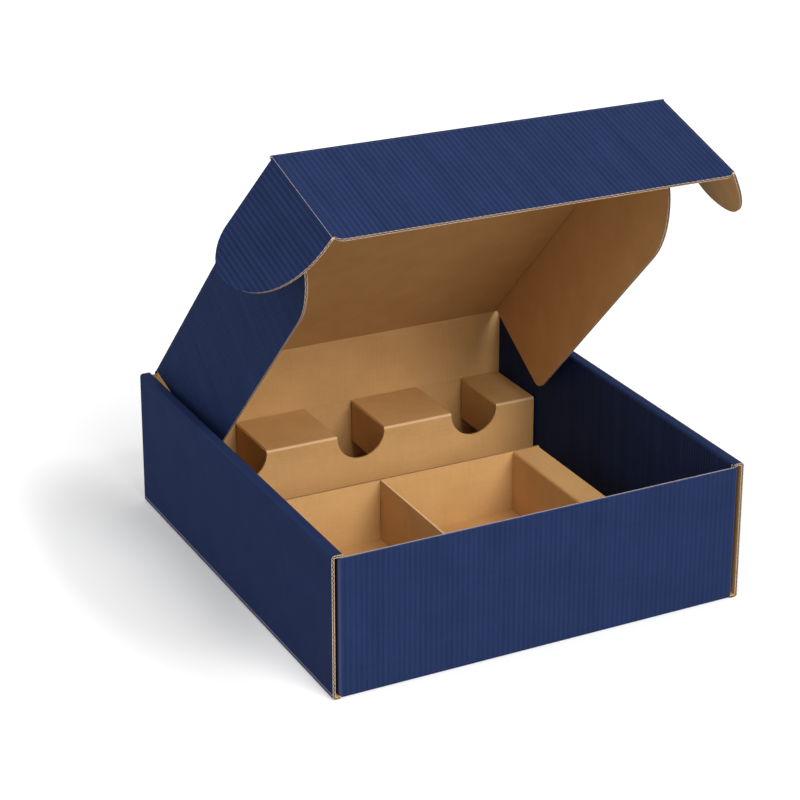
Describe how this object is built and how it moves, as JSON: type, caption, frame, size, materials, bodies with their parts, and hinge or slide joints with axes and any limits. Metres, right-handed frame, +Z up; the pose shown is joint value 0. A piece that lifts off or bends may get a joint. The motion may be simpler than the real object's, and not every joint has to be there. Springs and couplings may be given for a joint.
{
  "type": "bottle shipping box",
  "caption": "Corrugated shipping box for bottles with a hinged tuck lid, side flaps and ears, and a kraft insert with neck slots and cells.",
  "frame": {"origin": "underside of the base, at the middle of its length and width", "axes": "+X to the right along the front wall, +Y from the front wall to the back wall, +Z up"},
  "size_m": [0.3526, 0.316, 0.3184],
  "materials": {
    "printed_board": "matt blue print outside, bare kraft inside",
    "insert_board": "bare kraft"
  },
  "bodies": {
    "tray": {"outer_tray": "printed_board", "neck_rest": "insert_board", "cell_tray": "insert_board", "cell_divider": "insert_board", "side_spacer": "insert_board"},
    "lid": {"lid_panel": "printed_board"},
    "side_flap_left": {"lid_side_flap_left": "printed_board"},
    "side_flap_right": {"lid_side_flap_right": "printed_board"},
    "tuck": {"tuck_flap": "printed_board"},
    "left_ear": {"ear_left": "printed_board"},
    "right_ear": {"ear_right": "printed_board"}
  },
  "joints": [
    {"name": "lid_hinge", "type": "hinge", "parent": "tray", "child": "lid", "pos_m": [0, 0.1571, 0.0971], "axis": [-1, 0, 0], "range_deg": [-22, 134.3]},
    {"name": "tuck_crease", "type": "hinge", "parent": "lid", "child": "tuck", "pos_m": [0, -0.05801, 0.31753], "axis": [1, 0, 0], "range_deg": [-62, 28]},
    {"name": "side_flap_left_crease", "type": "hinge", "parent": "lid", "child": "side_flap_left", "pos_m": [-0.136, 0.1571, 0.0971], "axis": [0, -0.6984, 0.7157], "range_deg": [-4, 11.5]},
    {"name": "side_flap_right_crease", "type": "hinge", "parent": "lid", "child": "side_flap_right", "pos_m": [0.136, 0.1571, 0.0971], "axis": [0, 0.6984, -0.7157], "range_deg": [-7.5, 8]},
    {"name": "ear_left_crease", "type": "hinge", "parent": "tuck", "child": "left_ear", "pos_m": [-0.1384, -0.05801, 0.31753], "axis": [0, -0.9598, -0.2807], "range_deg": [-60, 30]},
    {"name": "ear_right_crease", "type": "hinge", "parent": "tuck", "child": "right_ear", "pos_m": [0.1384, -0.05801, 0.31753], "axis": [0, 0.9598, 0.2807], "range_deg": [-60, 30]}
  ]
}
